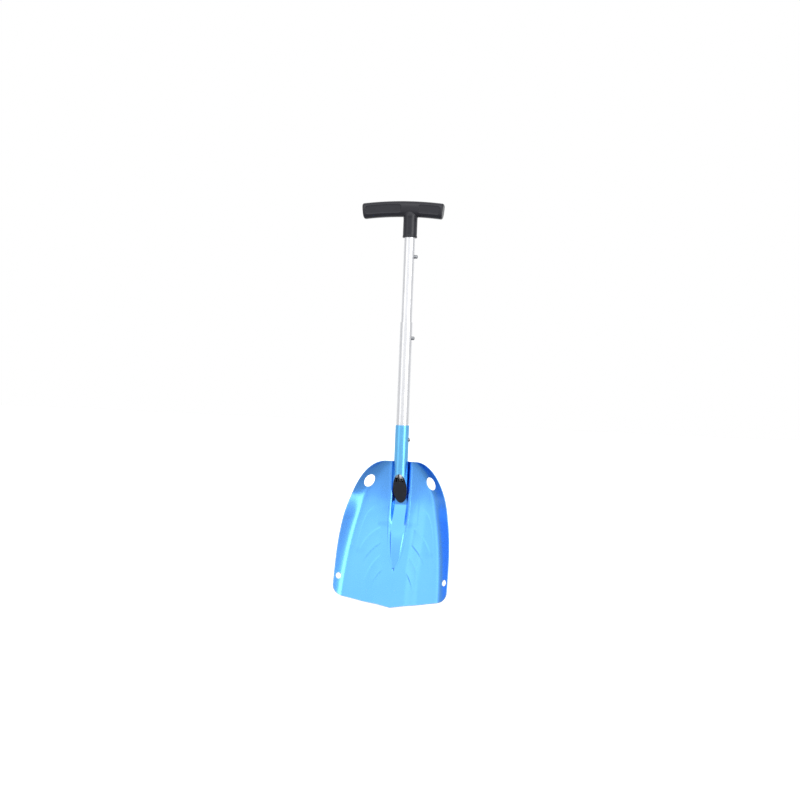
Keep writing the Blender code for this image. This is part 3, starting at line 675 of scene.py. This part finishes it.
def make_grip(finish):
    bar = grip_bar()
    tools = [grip_stem()]
    cut_or_join(bar, tools[0], "UNION")
    stem_clear = STEM_RADIUS + 0.0035
    for side, start, end in (("left", -GRIP_HALF_LENGTH + 0.0065, -stem_clear - GRIP_OFFSET),
                             ("right", stem_clear - GRIP_OFFSET, GRIP_HALF_LENGTH - 0.0065)):
        for face, facing in ((-1, "front"), (1, "back")):
            panel = grip_panel(f"grip_panel_tool_{side}_{facing}", start, end, face)
            cut_or_join(bar, panel, "DIFFERENCE")
            tools.append(panel)
    bore_radius = UPPER_RADIUS + 0.0004
    bore = builder_object("grip_bore_tool", turned(
        [(bore_radius, STEM_END - 0.01), (bore_radius, UPPER_TOP + GAP)], 72))
    cut_or_join(bar, bore, "DIFFERENCE")
    tools.append(bore)
    rivet_way = turned([(SHANK_HOLE, 0.004), (SHANK_HOLE, 0.030)], 32)
    to_back = Matrix.Rotation(-math.pi / 2, 4, "X")
    rivet_way.transform(Matrix.Translation((0, 0, GRIP_RIVET_Z)) @ to_back)
    way = builder_object("grip_rivet_tool", rivet_way)
    cut_or_join(bar, way, "DIFFERENCE")
    tools.append(way)
    baked(bar, tools)
    moulded(bar, 0.00050, 3)
    bar.data.transform(TO_FRAME)
    bar.data.materials.clear()
    bar.data.materials.append(finish)
    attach(bar, "upper_shaft")
    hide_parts("grip")


def make_plug(finish):
    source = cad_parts["socket_end_plug"]
    plug = show("castellated_plug", source.data.copy())
    builder = bmesh.new()
    builder.from_mesh(plug.data)
    bmesh.ops.remove_doubles(builder, verts=builder.verts, dist=0.00001)
    builder.to_mesh(plug.data)
    builder.free()
    moulded(plug, 0.00030, 2)
    plug.data.materials.clear()
    plug.data.materials.append(finish)
    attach(plug, "head")
    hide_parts("socket_end_plug")


# --- rivets and buttons: one node tree --------------------------------------------------------
def stud_tree():
    """Round studs in a row: a shank with a domed head at one end and a flange at the other."""
    tree = bpy.data.node_groups.new("round_studs", "GeometryNodeTree")
    face = tree.interface
    sockets = {}
    for label, kind, value in (
        ("Count", "NodeSocketInt", 1), ("Spacing", "NodeSocketFloat", 0.05),
        ("Shank Radius", "NodeSocketFloat", 0.002), ("Shank Length", "NodeSocketFloat", 0.01),
        ("Head Radius", "NodeSocketFloat", 0.004), ("Head Height", "NodeSocketFloat", 0.0006),
        ("Dome", "NodeSocketFloat", 0.0012), ("Flange Radius", "NodeSocketFloat", 0.003),
        ("Flange Height", "NodeSocketFloat", 0.0012), ("Finish", "NodeSocketMaterial", None),
    ):
        item = face.new_socket(label, in_out="INPUT", socket_type=kind)
        if value is not None:
            item.default_value = value
        sockets[label] = item.identifier
    face.new_socket("Geometry", in_out="OUTPUT", socket_type="NodeSocketGeometry")
    nodes, links = tree.nodes, tree.links
    given = nodes.new("NodeGroupInput")
    out = nodes.new("NodeGroupOutput")

    def maths(operation, first, second=None):
        node = nodes.new("ShaderNodeMath")
        node.operation = operation
        for slot, value in ((0, first), (1, second)):
            if isinstance(value, (int, float)):
                node.inputs[slot].default_value = value
            elif value is not None:
                links.new(value, node.inputs[slot])
        return node.outputs[0]

    def drum(radius, depth, low, fill, side):
        """A closed drum that starts at height low."""
        cylinder = nodes.new("GeometryNodeMeshCylinder")
        cylinder.fill_type = "TRIANGLE_FAN"
        cylinder.inputs["Vertices"].default_value = 48
        cylinder.inputs["Side Segments"].default_value = side
        cylinder.inputs["Fill Segments"].default_value = fill
        links.new(radius, cylinder.inputs["Radius"])
        links.new(depth, cylinder.inputs["Depth"])
        lift = nodes.new("ShaderNodeCombineXYZ")
        links.new(maths("ADD", low, maths("MULTIPLY", depth, 0.5)), lift.inputs["Z"])
        move = nodes.new("GeometryNodeTransform")
        links.new(cylinder.outputs["Mesh"], move.inputs["Geometry"])
        links.new(lift.outputs[0], move.inputs["Translation"])
        return move.outputs["Geometry"]

    zero = maths("MULTIPLY", given.outputs["Shank Length"], 0.0)
    head = drum(given.outputs["Head Radius"], given.outputs["Head Height"],
                given.outputs["Shank Length"], 10, 1)
    position = nodes.new("GeometryNodeInputPosition")
    split = nodes.new("ShaderNodeSeparateXYZ")
    links.new(position.outputs[0], split.inputs[0])
    square = maths("ADD", maths("MULTIPLY", split.outputs["X"], split.outputs["X"]),
                   maths("MULTIPLY", split.outputs["Y"], split.outputs["Y"]))
    share = maths("DIVIDE", square, maths("MULTIPLY", given.outputs["Head Radius"],
                                          given.outputs["Head Radius"]))
    bulge = maths("POWER", maths("MAXIMUM", maths("SUBTRACT", 1.0, share), 0.0), 0.6)
    crown_height = maths("MULTIPLY", bulge, given.outputs["Dome"])
    middle = maths("ADD", given.outputs["Shank Length"],
                   maths("MULTIPLY", given.outputs["Head Height"], 0.5))
    on_top = maths("GREATER_THAN", split.outputs["Z"], middle)
    raise_by = nodes.new("ShaderNodeCombineXYZ")
    links.new(maths("MULTIPLY", on_top, crown_height), raise_by.inputs["Z"])
    dome = nodes.new("GeometryNodeSetPosition")
    links.new(head, dome.inputs["Geometry"])
    links.new(raise_by.outputs[0], dome.inputs["Offset"])
    shank = drum(given.outputs["Shank Radius"], given.outputs["Shank Length"], zero, 2, 1)
    flange = drum(given.outputs["Flange Radius"], given.outputs["Flange Height"], zero, 4, 2)
    join = nodes.new("GeometryNodeJoinGeometry")
    for part in (dome.outputs[0], shank, flange):
        links.new(part, join.inputs[0])
    row = nodes.new("GeometryNodeMeshLine")
    links.new(given.outputs["Count"], row.inputs["Count"])
    offset = nodes.new("ShaderNodeCombineXYZ")
    links.new(given.outputs["Spacing"], offset.inputs["Y"])
    links.new(offset.outputs[0], row.inputs["Offset"])
    place = nodes.new("GeometryNodeInstanceOnPoints")
    links.new(row.outputs[0], place.inputs["Points"])
    links.new(join.outputs[0], place.inputs["Instance"])
    realize = nodes.new("GeometryNodeRealizeInstances")
    links.new(place.outputs[0], realize.inputs[0])
    finish = nodes.new("GeometryNodeSetMaterial")
    links.new(realize.outputs[0], finish.inputs["Geometry"])
    links.new(given.outputs["Finish"], finish.inputs["Material"])
    links.new(finish.outputs[0], out.inputs[0])
    return tree, sockets


def studs(name, tree, sockets, sizes, finish, turn):
    """Makes the tree's studs a plain mesh and puts them on the frame by the matrix turn."""
    obj = show(name, bpy.data.meshes.new(name))
    step = obj.modifiers.new("studs", "NODES")
    step.node_group = tree
    for label, value in sizes.items():
        step[sockets[label]] = value
    step[sockets["Finish"]] = finish
    baked(obj)
    obj.data.transform(TO_FRAME @ turn)
    obj.data.shade_smooth()
    obj.data.set_sharp_from_angle(angle=math.radians(40))
    return obj


def make_studs(steel, aluminium):
    tree, sockets = stud_tree()
    to_back = Matrix.Rotation(-math.pi / 2, 4, "X")
    joint_back = TROUGH_Y + SHEET / 2 + GAP
    tail = 0.0107
    rivet_sizes = {"Shank Radius": 0.0020, "Head Radius": 0.0042, "Head Height": 0.0006,
                   "Dome": 0.0012, "Flange Radius": 0.0033, "Flange Height": 0.0012}
    row = studs("socket_rivets", tree, sockets,
                {**rivet_sizes, "Count": 2, "Spacing": -SOCKET_RIVET_GAP,
                 "Shank Length": joint_back - tail}, aluminium,
                Matrix.Translation((0, tail, SOCKET_RIVET_LOW_Z)) @ to_back)
    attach(row, "head")
    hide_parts("socket_rivet_lower", "socket_rivet_upper")
    grip_tail = 0.0077
    grip_rivet = studs("grip_back_rivet", tree, sockets,
                       {**rivet_sizes, "Count": 1,
                        "Shank Length": STEM_RADIUS + GAP - grip_tail}, steel,
                       Matrix.Translation((0, grip_tail, GRIP_RIVET_Z)) @ to_back)
    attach(grip_rivet, "upper_shaft")
    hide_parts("grip_rivet")
    to_right = Matrix.Rotation(math.pi / 2, 4, "Y")
    for name, node, body, z in (
        ("socket_snap_button", "socket_button", "socket_lock", SOCKET_BUTTON_Z),
        ("extend_snap_button", "extend_button", "extend_lock", EXTEND_BUTTON_Z),
        ("stow_snap_button", "stow_button", "stow_lock", STOW_BUTTON_Z),
    ):
        low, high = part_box(node)
        length = high.x - low.x
        button = studs(name, tree, sockets,
                       {"Count": 1, "Shank Radius": BUTTON_RADIUS - 0.0001,
                        "Shank Length": length - 0.0026, "Head Radius": BUTTON_RADIUS,
                        "Head Height": 0.0004, "Dome": 0.0022, "Flange Radius": 0.0050,
                        "Flange Height": 0.0010}, steel,
                       Matrix.Translation((low.x, 0, z)) @ to_right)
        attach(button, body)
        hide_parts(node)
        if name == "extend_snap_button":
            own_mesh(button)


# --- finishes -----------------------------------------------------------------------------
class Finish:
    """A Principled material with short calls for the nodes that feed it."""

    def __init__(self, name, **sockets):
        self.material = bpy.data.materials.new(name)
        self.material.use_nodes = True
        self.nodes = self.material.node_tree.nodes
        self.links = self.material.node_tree.links
        self.shader = self.nodes["Principled BSDF"]
        for label, value in sockets.items():
            self.shader.inputs[label.replace("_", " ")].default_value = value
        self.place = self.nodes.new("ShaderNodeTexCoord").outputs["Object"]

    def noise(self, stretch, scale, detail=3.0, roughness=0.55, turn=(0, 0, 0)):
        """Noise drawn out by stretch, in lumps of about one over scale."""
        mapping = self.nodes.new("ShaderNodeMapping")
        mapping.inputs["Scale"].default_value = stretch
        mapping.inputs["Rotation"].default_value = turn
        self.links.new(self.place, mapping.inputs["Vector"])
        noise = self.nodes.new("ShaderNodeTexNoise")
        noise.inputs["Scale"].default_value = scale
        noise.inputs["Detail"].default_value = detail
        noise.inputs["Roughness"].default_value = roughness
        self.links.new(mapping.outputs[0], noise.inputs["Vector"])
        return noise.outputs["Fac"]

    def spread(self, value, low, high, to_low, to_high):
        node = self.nodes.new("ShaderNodeMapRange")
        for label, number in (("From Min", low), ("From Max", high),
                              ("To Min", to_low), ("To Max", to_high)):
            node.inputs[label].default_value = number
        self.links.new(value, node.inputs["Value"])
        return node.outputs[0]

    def maths(self, operation, first, second):
        node = self.nodes.new("ShaderNodeMath")
        node.operation = operation
        for slot, value in ((0, first), (1, second)):
            if isinstance(value, (int, float)):
                node.inputs[slot].default_value = value
            else:
                self.links.new(value, node.inputs[slot])
        return node.outputs[0]

    def blend(self, share, first, second):
        node = self.nodes.new("ShaderNodeMix")
        node.data_type = "RGBA"
        self.links.new(share, node.inputs["Factor"])
        for label, value in ((6, first), (7, second)):
            if isinstance(value, tuple):
                node.inputs[label].default_value = (*value, 1.0)
            else:
                self.links.new(value, node.inputs[label])
        return node.outputs[2]

    def attribute(self, name):
        node = self.nodes.new("ShaderNodeAttribute")
        node.attribute_name = name
        return node.outputs["Fac"]

    def bumps(self, *layers):
        """Each layer is (height, distance in metres, strength)."""
        last = None
        for height, distance, strength in layers:
            node = self.nodes.new("ShaderNodeBump")
            node.inputs["Distance"].default_value = distance
            node.inputs["Strength"].default_value = strength
            self.links.new(height, node.inputs["Height"])
            if last is not None:
                self.links.new(last, node.inputs["Normal"])
            last = node.outputs[0]
        self.links.new(last, self.shader.inputs["Normal"])

    def set(self, label, value):
        self.links.new(value, self.shader.inputs[label])


def anodised(name, colour, deep, bare, roughness, worn):
    """Dyed or clear anodised aluminium: drawn grain, cloudy dye, fine scratches, worn edges."""
    finish = Finish(name, Metallic=1.0, Coat_Weight=0.7, Coat_Roughness=0.20, Coat_IOR=1.65)
    cloud = finish.noise((1, 1, 1), 14, 4)
    grain = finish.noise((1, 1, 0.03), 1500, 2)
    scratch = finish.noise((1, 1, 0.012), 420, 1, 0.4, (0.05, 0.32, 0))
    fine_scratch = finish.noise((1, 1, 0.015), 700, 1, 0.4, (0.04, -0.22, 0))
    marks = finish.maths("ADD", finish.spread(scratch, 0.72, 0.78, 0, 0.6),
                         finish.spread(fine_scratch, 0.73, 0.79, 0, 0.5))
    tint = finish.blend(finish.spread(cloud, 0.35, 0.65, 0, 1), deep, colour)
    edge = finish.attribute("edge_wear")
    chipped = finish.maths("MULTIPLY", finish.spread(edge, 0.55, 0.95, 0, 1),
                           finish.spread(finish.noise((1, 1, 1), 240, 5), 0.42, 0.58, 0.25, 1))
    wear = finish.maths("MAXIMUM", finish.maths("MULTIPLY", chipped, worn),
                        finish.maths("MULTIPLY", marks, worn * 0.45))
    finish.set("Base Color", finish.blend(wear, tint, bare))
    rough = finish.maths("ADD", finish.spread(cloud, 0.3, 0.7, roughness - 0.03, roughness + 0.04),
                         finish.spread(grain, 0.3, 0.7, -0.03, 0.04))
    finish.set("Roughness", finish.maths("ADD", rough, finish.maths("MULTIPLY", marks, 0.08)))
    finish.bumps((cloud, 0.0003, 0.025), (grain, 0.00002, 0.35), (marks, 0.00002, 0.30))
    return finish.material


def moulded_plastic(name, colour, worn_colour, roughness, shine, texture):
    finish = Finish(name, Specular_IOR_Level=shine)
    cloud = finish.noise((1, 1, 1), 30, 4)
    spark = finish.noise((1, 1, 1), texture, 3)
    rub = finish.noise((1, 0.6, 1), 110, 5)
    finish.set("Base Color", finish.blend(finish.spread(rub, 0.52, 0.72, 0, 0.55), colour,
                                          worn_colour))
    finish.set("Roughness", finish.maths("ADD", finish.spread(cloud, 0.3, 0.7, roughness - 0.05,
                                                              roughness + 0.05),
                                         finish.spread(spark, 0.3, 0.7, -0.04, 0.05)))
    finish.bumps((cloud, 0.0006, 0.06), (spark, 0.00008, 0.45))
    return finish.material


def plated_steel(name, colour, roughness):
    finish = Finish(name, Metallic=1.0)
    cloud = finish.noise((1, 1, 1), 260, 4)
    turned_grain = finish.noise((1, 0.1, 1), 1800, 2)
    finish.set("Base Color", finish.blend(finish.spread(cloud, 0.35, 0.7, 0, 0.5), colour,
                                          tuple(0.72 * c for c in colour)))
    finish.set("Roughness", finish.spread(cloud, 0.3, 0.7, roughness - 0.06, roughness + 0.08))
    finish.bumps((turned_grain, 0.00002, 0.3), (cloud, 0.00006, 0.15))
    return finish.material


# --- studio ---------------------------------------------------------------------------------
def soft_light(name, place, aim, width, height, power):
    data = bpy.data.lights.new(name, "AREA")
    data.shape = "RECTANGLE"
    data.size = width
    data.size_y = height
    data.energy = power
    lamp = bpy.data.objects.new(name, data)
    bpy.context.scene.collection.objects.link(lamp)
    lamp.location = place
    lamp.rotation_euler = (Vector(aim) - Vector(place)).to_track_quat("-Z", "Y").to_euler()


def make_studio():
    middle = Vector((0, AXIS_Y, 0.42))
    for name, azimuth, rise, distance, width, height, power in (
        ("left_softbox", -52, 0.25, 2.2, 0.60, 1.9, 2.5),
        ("right_softbox", 42, 0.30, 2.2, 0.90, 1.9, 13),
    ):
        turn = math.radians(azimuth) + VIEW_TURN
        place = middle + Vector((math.sin(turn), -math.cos(turn), 0)) * distance
        place.z += rise
        soft_light(name, place, middle, width, height, power)
    make_air()


def make_air():
    """Soft surround: bright overhead, dimmer to the sides, plain white where the camera sees it."""
    world = bpy.data.worlds.new("studio_air")
    world.use_nodes = True
    nodes, links = world.node_tree.nodes, world.node_tree.links
    around = nodes.new("ShaderNodeTexCoord").outputs["Generated"]
    split = nodes.new("ShaderNodeSeparateXYZ")
    links.new(around, split.inputs[0])
    facing = nodes.new("ShaderNodeVectorMath")
    facing.operation = "DOT_PRODUCT"
    facing.inputs[1].default_value = (math.sin(VIEW_TURN), -math.cos(VIEW_TURN), 0)
    links.new(around, facing.inputs[0])
    share = nodes.new("ShaderNodeMapRange")
    share.inputs["From Min"].default_value = -1
    links.new(facing.outputs["Value"], share.inputs["Value"])
    level = nodes.new("ShaderNodeFloatCurve")
    curve = level.mapping.curves[0]
    curve.points[0].location = (0.0, 1.0)
    curve.points[1].location = (1.0, 1.0)
    for place in ((0.15, 0.95), (0.30, 0.72), (0.45, 0.62), (0.62, 0.80), (0.80, 1.0)):
        curve.points.new(*place)
    level.mapping.update()
    links.new(share.outputs[0], level.inputs["Value"])
    overhead = nodes.new("ShaderNodeMapRange")
    overhead.interpolation_type = "SMOOTHSTEP"
    overhead.inputs["From Min"].default_value = 0.15
    overhead.inputs["From Max"].default_value = 0.60
    links.new(split.outputs["Z"], overhead.inputs["Value"])
    panel = nodes.new("ShaderNodeMapRange")
    panel.interpolation_type = "SMOOTHSTEP"
    for label, value in (("From Min", 0.15), ("From Max", 0.68), ("To Min", 0.85), ("To Max", 1.9)):
        panel.inputs[label].default_value = value
    links.new(facing.outputs["Value"], panel.inputs["Value"])
    strength = nodes.new("ShaderNodeMix")
    links.new(overhead.outputs[0], strength.inputs["Factor"])
    links.new(level.outputs[0], strength.inputs["A"])
    links.new(panel.outputs[0], strength.inputs["B"])
    air = nodes["Background"]
    air.inputs["Color"].default_value = (0.98, 0.99, 1.0, 1)
    links.new(strength.outputs["Result"], air.inputs["Strength"])
    seen = nodes.new("ShaderNodeBackground")
    seen.inputs["Color"].default_value = (1, 1, 1, 1)
    path = nodes.new("ShaderNodeLightPath")
    choice = nodes.new("ShaderNodeMixShader")
    links.new(path.outputs["Is Camera Ray"], choice.inputs[0])
    links.new(air.outputs[0], choice.inputs[1])
    links.new(seen.outputs[0], choice.inputs[2])
    links.new(choice.outputs[0], nodes["World Output"].inputs["Surface"])
    bpy.context.scene.world = world


def make_floor():
    builder = bmesh.new()
    bmesh.ops.create_grid(builder, x_segments=1, y_segments=1, size=12)
    floor = builder_object("studio_floor", builder)
    floor.location.z = -0.0002
    paper = bpy.data.materials.new("pale_paper")
    paper.use_nodes = True
    nodes, links = paper.node_tree.nodes, paper.node_tree.links
    shader = nodes["Principled BSDF"]
    # Painted shade: the floor's base colour is darker within about a metre of the shovel, 0.46
    # there and rising to 0.80 further off. It stands in for the shade under the object, and it also
    # darkens what the blade reflects from below.
    reach = nodes.new("ShaderNodeVectorMath")
    reach.operation = "LENGTH"
    links.new(nodes.new("ShaderNodeTexCoord").outputs["Object"], reach.inputs[0])
    painted_shade = nodes.new("ShaderNodeMapRange")
    painted_shade.interpolation_type = "SMOOTHSTEP"
    for label, value in (("From Min", 0.9), ("From Max", 2.6), ("To Min", 0.46), ("To Max", 0.80)):
        painted_shade.inputs[label].default_value = value
    links.new(reach.outputs["Value"], painted_shade.inputs["Value"])
    links.new(painted_shade.outputs[0], shader.inputs["Base Color"])
    shader.inputs["Roughness"].default_value = 0.9
    shader.inputs["Specular IOR Level"].default_value = 0.1
    glow = nodes.new("ShaderNodeEmission")
    glow.inputs["Strength"].default_value = 0.85
    both = nodes.new("ShaderNodeAddShader")
    links.new(shader.outputs[0], both.inputs[0])
    links.new(glow.outputs[0], both.inputs[1])
    path = nodes.new("ShaderNodeLightPath")
    choice = nodes.new("ShaderNodeMixShader")
    links.new(path.outputs["Is Camera Ray"], choice.inputs[0])
    links.new(shader.outputs[0], choice.inputs[1])
    links.new(both.outputs[0], choice.inputs[2])
    links.new(choice.outputs[0], nodes["Material Output"].inputs["Surface"])
    floor.data.materials.append(paper)


def make_camera():
    aim = Vector((0, AXIS_Y, 0.4280))
    distance = 2.2
    data = bpy.data.cameras.new("studio_camera")
    data.lens = 48.87
    data.sensor_width = 36
    camera = bpy.data.objects.new("studio_camera", data)
    bpy.context.scene.collection.objects.link(camera)
    forward = Vector((-math.sin(VIEW_TURN), math.cos(VIEW_TURN), 0))
    right = Vector((math.cos(VIEW_TURN), math.sin(VIEW_TURN), 0))
    level = Matrix((right, Vector((0, 0, 1)), -forward)).transposed()
    rolled = level @ Matrix.Rotation(math.radians(2.26), 3, "Z")
    off_centre = Vector((0.00341, 0.00737, -1)).normalized()
    nudge = off_centre.rotation_difference(Vector((0, 0, -1))).to_matrix()
    camera.matrix_world = Matrix.Translation(aim - forward * distance) @ (rolled @ nudge).to_4x4()
    bpy.context.scene.camera = camera


# --- assembly -------------------------------------------------------------------------------
blue_sheet = anodised("blue_anodised_sheet", (0.095, 0.40, 0.98), (0.085, 0.375, 0.95),
                      (0.66, 0.83, 0.97), 0.27, 0.22)
blue_tube = anodised("blue_anodised_tube", (0.15, 0.56, 1.0), (0.13, 0.52, 0.95),
                     (0.75, 0.88, 0.97), 0.25, 0.25)
silver_tube = anodised("clear_anodised_tube", (0.86, 0.86, 0.88), (0.82, 0.82, 0.84),
                       (0.93, 0.93, 0.93), 0.28, 0.3)
bare_bore = plated_steel("bare_aluminium_bore", (0.96, 0.96, 0.97), 0.22)
rivet_metal = plated_steel("aluminium_rivet", (0.84, 0.85, 0.86), 0.32)
button_steel = plated_steel("plated_button_steel", (0.36, 0.37, 0.39), 0.26)
spring_metal = plated_steel("leaf_spring_steel", (0.45, 0.46, 0.48), 0.34)
grip_plastic = moulded_plastic("black_grip_nylon", (0.007, 0.007, 0.013), (0.015, 0.014, 0.024),
                               0.32, 0.52, 1400)
plug_plastic = moulded_plastic("black_plug_plastic", (0.018, 0.018, 0.022),
                               (0.030, 0.032, 0.040), 0.48, 0.40, 1800)

make_blade(blue_sheet)
make_tubes(blue_tube, silver_tube, bare_bore)
make_plug(plug_plastic)
make_grip(grip_plastic)
make_studs(button_steel, rivet_metal)
for spring in ("socket_button_spring", "extend_button_spring", "stow_button_spring"):
    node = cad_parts[spring]
    node.data.materials.clear()
    node.data.materials.append(spring_metal)

make_floor()
make_studio()
make_camera()
bpy.context.scene.view_settings.view_transform = "Standard"
